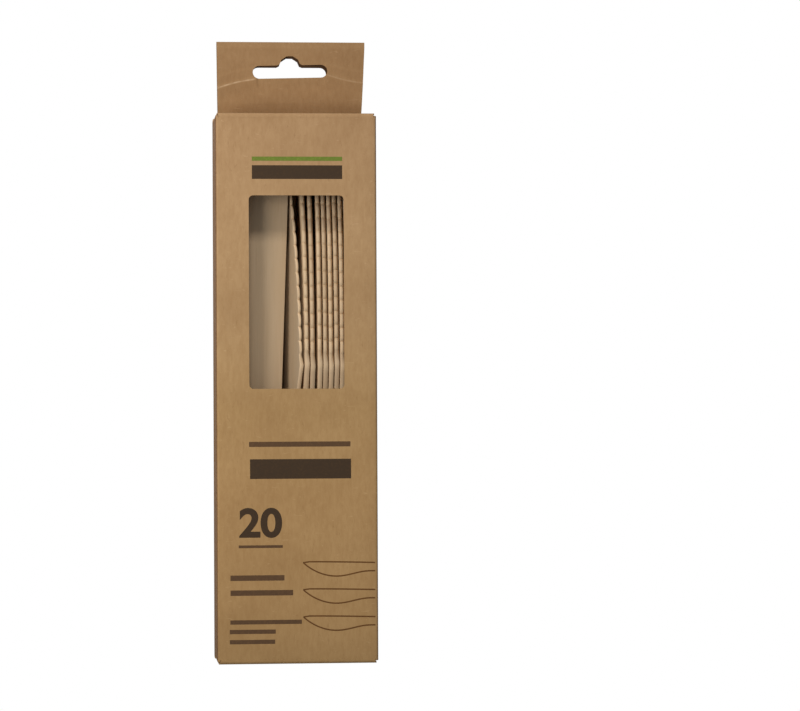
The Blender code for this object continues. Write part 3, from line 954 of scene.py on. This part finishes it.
def knife_place(spine_x, height, angle, lean, along):
    """The turn and shift that lay a knife in its place. Angle turns it about its spine, lean turns
    it in its own plane and along shifts it towards the header."""
    flat = Matrix.Rotation(math.pi, 4, "Y") @ Matrix.Translation((0.0, 0.0, -KNIFE_THICKNESS))
    pivot = Matrix.Translation((0.0, WINDOW_MIDDLE_Y - HANDLE_END_Y, 0.0))
    turn = Matrix.Rotation(angle, 4, "Y")
    in_plane = pivot @ Matrix.Rotation(-lean, 4, "Z") @ pivot.inverted()
    place = Matrix.Translation((spine_x, HANDLE_END_Y + MIDDLE_Y + along, height))
    return place @ turn @ in_plane @ flat


def stack_limit(foot_x, tilt, rise, lean):
    """How far right a stacked knife may lie, at a rise over the floor, beside the leaning blade."""
    share = rise / math.cos(tilt) / BLADE_WIDTH
    blade_end = (1.0 - share ** (1.0 / BELLY_ROOT)) ** (1.0 / BELLY_POWER)
    reach = HANDLE_END_Y + SHOULDER_AT + (KNIFE_LENGTH - SHOULDER_AT) * blade_end - WINDOW_MIDDLE_Y
    return foot_x + rise * math.tan(tilt) - GAP - reach * math.sin(lean)


def knife_places():
    """Where each knife lies: a leaning stack, three that lean on the row, and the standing row."""
    floor = FLOOR_Z + GAP
    leaning = []
    neighbour = ROW_ROOM
    for degrees in LEANS:
        tilt = math.radians(degrees)
        overhang = BLADE_WIDTH * math.sin(tilt)
        spine = neighbour + GAP + KNIFE_THICKNESS / math.cos(tilt) + overhang
        leaning.append((tilt, spine))
        neighbour = spine - overhang
    foot_x = ROW_LEFT - leaning[-1][1]
    places = []
    for i in range(STACK_COUNT):
        rise = i * KNIFE_PITCH
        height = floor + rise
        lean = STACK_LEAN * i / (STACK_COUNT - 1) + wobble(i, STACK_LEAN / 8)
        slide = STACK_SLIDE if height > TONGUE_TOP_Z else 0.0
        limit = stack_limit(foot_x, leaning[-1][0], rise, lean)
        x = min(foot_x + STACK_OVERHANG + wobble(i + 3, 0.0002), limit)
        places.append(knife_place(x, height, 0.0, lean, slide + wobble(i, 0.0004)))
    for tilt, spine in leaning:
        height = floor + KNIFE_THICKNESS * math.sin(tilt)
        slide = wobble(len(places), 0.0005)
        places.append(knife_place(ROW_LEFT - spine, height, math.pi / 2 + tilt, 0.0, slide))
    for i in range(EDGE_COUNT):
        x = ROW_LEFT + i * KNIFE_PITCH
        places.append(knife_place(x, floor, math.pi / 2, 0.0, wobble(i, 0.0006)))
    return places


def build_knives():
    """A finished knife in the place of each plain one."""
    shape = knife_mesh("knife_shape")
    for number, place in enumerate(knife_places(), start=1):
        name = "knife_%02d" % number
        # Painted light: a darker stack, a lighter row, and the outer knife's face in painted shade
        # with a painted highlight on its edges.
        tone = STACK_SHADE_TONE if number <= STACK_COUNT else ROW_LIT_TONE
        if number == OUTER_KNIFE:
            tone = OUTER_SHADE_TONE
        tone += TONE_SPREAD * math.sin(2.9 * number + 1.0)
        shift = (0.031 * number, 0.217 * number, 0.053 * number)
        mesh = shape.copy()
        mesh.materials.append(wood_material("wood_%02d" % number, tone, shift))
        if number == OUTER_KNIFE:
            mesh.materials.append(wood_material("wood_edge", OUTER_EDGE_HIGHLIGHT_TONE, shift))
            for face in mesh.polygons:
                face.material_index = int(abs(face.normal.z) < 0.6)
        mesh.transform(place)
        ob = link(bpy.data.objects.new("wooden_" + name, mesh))
        low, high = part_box(name)
        for axis in range(3):
            places = [v.co[axis] for v in mesh.vertices]
            assert abs(min(places) - low[axis]) < KNIFE_MATCH, (name, axis)
            assert abs(max(places) - high[axis]) < KNIFE_MATCH, (name, axis)
        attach(ob, "carton")
        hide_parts(name)


# Light, floor and camera

def area_light(name, size, power, place, target):
    """A warm soft light that shines at the target."""
    data = bpy.data.lights.new(name, "AREA")
    data.shape = "SQUARE"
    data.size = size
    data.energy = power
    data.color = WARM
    ob = link(bpy.data.objects.new(name, data))
    ob.location = place
    direction = Vector(target) - Vector(place)
    ob.rotation_euler = direction.to_track_quat("-Z", "Y").to_euler()


def build_world():
    """Cool weak light from all round, which reads as plain white where the camera sees it."""
    world = bpy.data.worlds.new("studio")
    world.use_nodes = True
    tree = world.node_tree
    room = tree.nodes["Background"]
    room.inputs["Color"].default_value = (*COOL, 1.0)
    room.inputs["Strength"].default_value = ROOM_LIGHT
    white = tree.nodes.new("ShaderNodeBackground")
    white.inputs["Strength"].default_value = 1.0
    white.inputs["Color"].default_value = (1.0, 1.0, 1.0, 1.0)
    path = tree.nodes.new("ShaderNodeLightPath")
    mixer = tree.nodes.new("ShaderNodeMixShader")
    tree.links.new(path.outputs["Is Camera Ray"], mixer.inputs["Fac"])
    tree.links.new(room.outputs["Background"], mixer.inputs[1])
    tree.links.new(white.outputs["Background"], mixer.inputs[2])
    tree.links.new(mixer.outputs["Shader"], tree.nodes["World Output"].inputs["Surface"])
    bpy.context.scene.world = world


def build_stage():
    reach = FLOOR_REACH
    verts = [(-reach, -reach, 0.0), (reach, -reach, 0.0), (reach, reach, 0.0), (-reach, reach, 0.0)]
    mesh = bpy.data.meshes.new("floor")
    mesh.from_pydata(verts, [], [(0, 1, 2, 3)])
    mesh.materials.append(floor_material())
    floor = link(bpy.data.objects.new("floor", mesh))
    floor.location.z = -FLOOR_DROP
    area_light("top_light", KEY_SIZE, KEY_LIGHT, KEY_PLACE, (0.0, 0.0, 0.0))
    area_light("side_light", SIDE_SIZE, SIDE_LIGHT, SIDE_PLACE, (0.0, 0.02, FRONT_Z))
    build_world()


def build_camera():
    """A long lens over the front, a little from the left."""
    data = bpy.data.cameras.new("camera")
    data.lens = CAMERA_LENS
    data.sensor_width = 36.0
    data.clip_start = 0.01
    data.clip_end = 20.0
    ob = link(bpy.data.objects.new("camera", data))
    ob.location = CAMERA_PLACE
    ob.rotation_euler = CAMERA_TURN
    bpy.context.scene.camera = ob


def ride_card(ob, *nodes):
    """Sets a piece of the card's sheet on the carton, in the place of the nodes named."""
    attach(ob, "carton")
    if nodes:
        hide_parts(*nodes)
    return ob


def build_card():
    """The carton's sheet, and the closing flaps folded off its front panel."""
    kraft = kraft_material("kraft_card", (1.0, 1.0, 1.0))
    # Painted shade: the side walls' darker tint.
    sides = kraft_material("kraft_sides_painted_shade", (0.52, 0.45, 0.42))
    # Painted shade: the header and back layer's darker tint.
    back = kraft_material("kraft_back_painted_shade", (0.80, 0.77, 0.72), True)
    edge = kraft_material("card_edge", (0.80, 0.78, 0.75))
    # Painted shade: a dark card for the hang slot's cut edges and the header's inner face.
    slot_painted_shade = kraft_material("slot_painted_shade", (0.22, 0.17, 0.14))
    ride_card(cut_window(carton_walls(kraft), edge, sides), "carton_body")
    ride_card(header_and_back(back, slot_painted_shade))
    for side, side_name in ((-1, "left"), (1, "right")):
        for end, end_name in ((-1, "bottom"), (1, "top")):
            ride_card(dust_flap("dust_flap_%s_%s" % (end_name, side_name), side, end, kraft))
    for end, word, body in ((1, "top", "top_flap"), (-1, "bottom", "bottom_flap")):
        ob = closure(word + "_closure", end, kraft)
        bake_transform(ob)
        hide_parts(word + "_tuck_flap")


def drawn_depth(along):
    """How far below its tip a drawn blade's lower line is."""
    if along < DRAWN_BELLY_AT:
        return DRAWN_BELLY * (1.0 - (1.0 - along / DRAWN_BELLY_AT) ** 2) ** 0.92
    share = min(1.0, (along - DRAWN_BELLY_AT) / (DRAWN_NECK_AT - DRAWN_BELLY_AT))
    return DRAWN_NECK + (DRAWN_BELLY - DRAWN_NECK) * (0.5 + 0.5 * math.cos(math.pi * share))


def drawn_knife(name, down, mat):
    """A line drawing of a plain blade that runs off the panel's right edge."""
    length = (2 * HALF_WIDTH - FOLD) / MM - DRAWN_TIP
    upper = [(length * i / 12, DRAWN_BACK * math.cos(i / 12 * 2.0)) for i in range(12, 0, -1)]
    lower = [DRAWN_NECK_AT * (i / 28) ** 1.7 for i in range(29)] + [length]
    points = upper + [(along, drawn_depth(along)) for along in lower]
    places = [on_front((DRAWN_TIP + along) * MM, (down + depth) * MM) for along, depth in points]
    return ink_line(name, places, DRAWN_LINE * MM, mat)


def build_print():
    """The print's fields, number and drawings, on the carton's front."""
    ink = ink_material("dark_ink", linear(62, 46, 30))
    thin = ink_material("thin_ink", linear(88, 64, 42))
    brown = ink_material("brown_ink", linear(98, 64, 28))
    green = ink_material("green_ink", linear(104, 120, 44))
    made = [ink_bar(HEADLINE_BAR, ink)]
    made += [ink_bar(bar, thin) for bar in TEXT_BARS]
    made += [ink_bar(GREEN_BAR, green), ink_bar(DARK_BAR, ink)]
    made.append(ink_number("number", "20", NUMBER_BOX, ink))
    for i, down in enumerate(DRAWN_DOWN):
        made.append(drawn_knife("drawn_knife_%d" % (i + 1), down, brown))
    for ob in made:
        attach(ob, "carton")


build_card()
build_knives()
build_print()
build_stage()
build_camera()
bpy.context.scene.view_settings.view_transform = "Standard"
